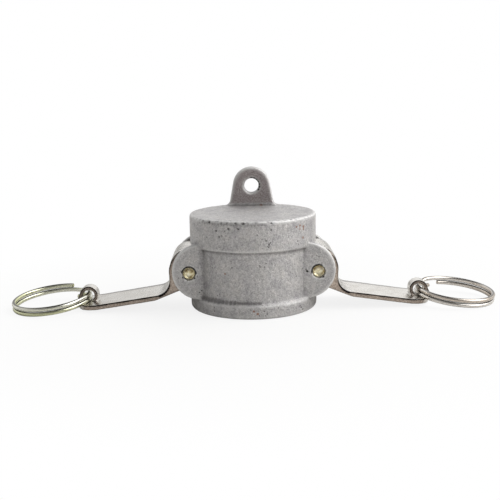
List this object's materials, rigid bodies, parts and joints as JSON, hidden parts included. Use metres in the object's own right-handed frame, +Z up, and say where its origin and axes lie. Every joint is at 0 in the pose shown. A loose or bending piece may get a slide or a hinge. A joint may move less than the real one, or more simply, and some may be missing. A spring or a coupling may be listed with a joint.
{
  "type": "lever-locked hose coupling dust cap",
  "caption": "Cast aluminium dust cap with an open socket and a gasket, hinged cam levers with pull rings that lock it onto a coupling nose, and a fixing tab with a hole on the closed end.",
  "frame": {"origin": "on the socket axis at the mouth, where the cap stands on its open end", "axes": "+Z up along the socket axis towards the closed end, +X towards one lever, +Y towards the fixing tab"},
  "size_m": [0.1824, 0.0472, 0.0504],
  "materials": {
    "cast_aluminium": "as cast, fine grain, lightly tumbled",
    "nitrile_rubber": "moulded, matte",
    "yellow_brass": "drawn, slightly tarnished",
    "stainless_casting": "tumbled satin",
    "zinc_plated_wire": "plated, yellow passivated"
  },
  "bodies": {
    "cap": {"cap_body": "cast_aluminium", "gasket": "nitrile_rubber", "pivot_pin_left": "yellow_brass", "pivot_pin_right": "yellow_brass"},
    "left_lever": {"cam_arm_left": "stainless_casting"},
    "right_lever": {"cam_arm_right": "stainless_casting"},
    "left_ring": {"pull_ring_left": "zinc_plated_wire"},
    "right_ring": {"pull_ring_right": "zinc_plated_wire"}
  },
  "joints": [
    {"name": "left_lever_pivot", "type": "hinge", "parent": "cap", "child": "left_lever", "pos_m": [-0.0236, 0, 0.015], "axis": [0, 1, 0], "range_deg": [0, 98]},
    {"name": "left_ring_swing", "type": "hinge", "parent": "left_lever", "child": "left_ring", "pos_m": [-0.0621, 0, 0.00515], "axis": [0, 1, 0], "range_deg": [0, 115]},
    {"name": "right_lever_pivot", "type": "hinge", "parent": "cap", "child": "right_lever", "pos_m": [0.0236, 0, 0.015], "axis": [0, -1, 0], "range_deg": [0, 98]},
    {"name": "right_ring_swing", "type": "hinge", "parent": "right_lever", "child": "right_ring", "pos_m": [0.0621, 0, 0.00515], "axis": [0, -1, 0], "range_deg": [0, 115]}
  ]
}
